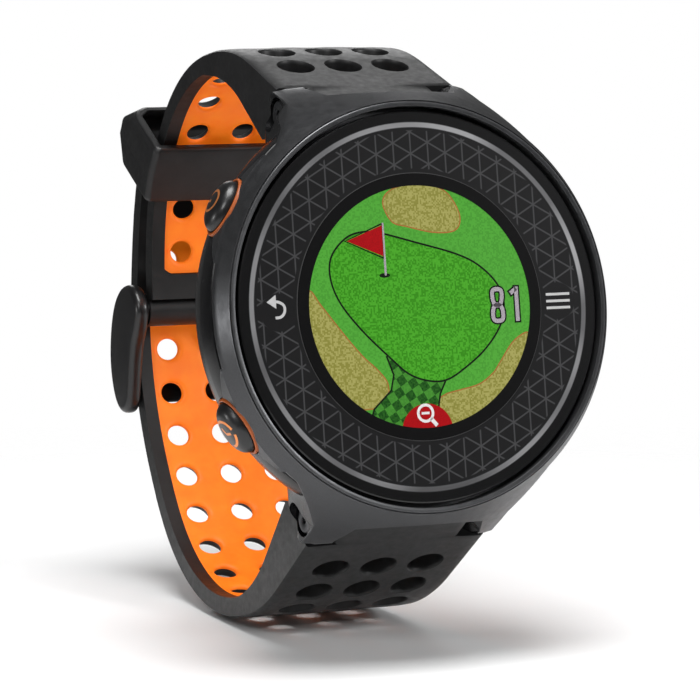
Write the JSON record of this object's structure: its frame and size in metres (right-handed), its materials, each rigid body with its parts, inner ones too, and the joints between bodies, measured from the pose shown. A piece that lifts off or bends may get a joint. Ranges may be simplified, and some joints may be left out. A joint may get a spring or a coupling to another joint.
{
  "type": "golf gps watch",
  "caption": "Round wrist watch with a printed ring round its colour screen, side push buttons and a perforated two-colour rubber strap closed by a buckle.",
  "frame": {"origin": "middle of the lens's outer face, on the dial's axis", "axes": "the dial faces -Y, 12 o'clock is +Z and 3 o'clock is +X; the strap loop stands on its lowest point"},
  "size_m": [0.0458, 0.0633, 0.0629],
  "materials": {
    "gunmetal": "satin",
    "black_plastic": "satin",
    "printed_glass": "printed dark on its inside",
    "seal_rubber": "matt",
    "display": "lit",
    "white_plastic": "matt",
    "circuit_board": "satin",
    "steel": "satin",
    "ceramic": "matt ceramic",
    "cell_foil": "satin foil",
    "gold_plate": "bright",
    "orange_rubber": "matt",
    "dark_steel": "blackened",
    "black_rubber": "matt"
  },
  "bodies": {
    "case": {"front_housing": "gunmetal", "mid_case": "black_plastic", "lens_glass": "printed_glass", "lens_gasket": "seal_rubber", "display_module": "display", "backlight_plate": "white_plastic", "inner_chassis": "white_plastic", "main_board": "circuit_board", "shield_can": "steel", "gps_antenna": "ceramic", "battery": "cell_foil", "buzzer_disc": "gold_plate", "display_flex": "gold_plate", "back_cover": "black_plastic", "back_gasket": "seal_rubber", "back_screw_1": "steel", "back_screw_2": "steel", "back_screw_3": "steel", "back_screw_4": "steel", "charge_contact_1": "gold_plate", "charge_contact_2": "gold_plate", "charge_contact_3": "gold_plate", "charge_contact_4": "gold_plate", "button_upper_ring": "orange_rubber", "button_upper_seal": "seal_rubber", "button_upper_switch": "dark_steel", "button_lower_ring": "orange_rubber", "button_lower_seal": "seal_rubber", "button_lower_switch": "dark_steel", "strap_pin_upper": "steel", "strap_pin_lower": "steel", "lug_screw_upper_left": "dark_steel", "lug_screw_upper_right": "dark_steel", "lug_screw_lower_left": "dark_steel", "lug_screw_lower_right": "dark_steel"},
    "upper_button": {"button_upper_cap": "black_plastic", "button_upper_clip": "steel"},
    "lower_button": {"button_lower_cap": "black_plastic", "button_lower_clip": "steel"},
    "upper_strap": {"strap_upper": "black_rubber", "strap_upper_inlay": "orange_rubber", "buckle_spring_bar": "steel"},
    "lower_strap": {"strap_lower": "black_rubber", "strap_lower_inlay": "orange_rubber"},
    "buckle": {"buckle_frame": "black_plastic"},
    "prong": {"buckle_prong": "steel"},
    "keeper": {"keeper_loop": "black_rubber"}
  },
  "joints": [
    {"name": "button_upper_press", "type": "slide", "parent": "case", "child": "upper_button", "axis": [0.866, 0, -0.5], "range_m": [0, 0.0005], "stiffness_N_per_m": 900, "springref_m": -0.0006},
    {"name": "button_lower_press", "type": "slide", "parent": "case", "child": "lower_button", "axis": [0.866, 0, 0.5], "range_m": [0, 0.0005], "stiffness_N_per_m": 900, "springref_m": -0.0006},
    {"name": "strap_upper_pivot", "type": "hinge", "parent": "case", "child": "upper_strap", "pos_m": [0, 0.0089, 0.0214], "axis": [1, 0, 0], "range_deg": [-0.4, 0.25]},
    {"name": "strap_lower_pivot", "type": "hinge", "parent": "case", "child": "lower_strap", "pos_m": [0, 0.0089, -0.0214], "axis": [1, 0, 0], "range_deg": [-0.4, 0.25]},
    {"name": "buckle_pivot", "type": "hinge", "parent": "upper_strap", "child": "buckle", "pos_m": [0, 0.0554, 0.0039], "axis": [1, 0, 0], "range_deg": [-0.3, 3]},
    {"name": "prong_pivot", "type": "hinge", "parent": "upper_strap", "child": "prong", "pos_m": [0, 0.0554, 0.0039], "axis": [1, 0, 0], "range_deg": [-0.3, 3]},
    {"name": "keeper_slide", "type": "slide", "parent": "upper_strap", "child": "keeper", "axis": [0, 0.608, -0.794], "range_m": [-0.0012, 0.0012]}
  ],
  "couplings": [
    {"joint": "strap_lower_pivot", "follows": "strap_upper_pivot", "ratio": 1},
    {"joint": "prong_pivot", "follows": "buckle_pivot", "ratio": 1}
  ]
}
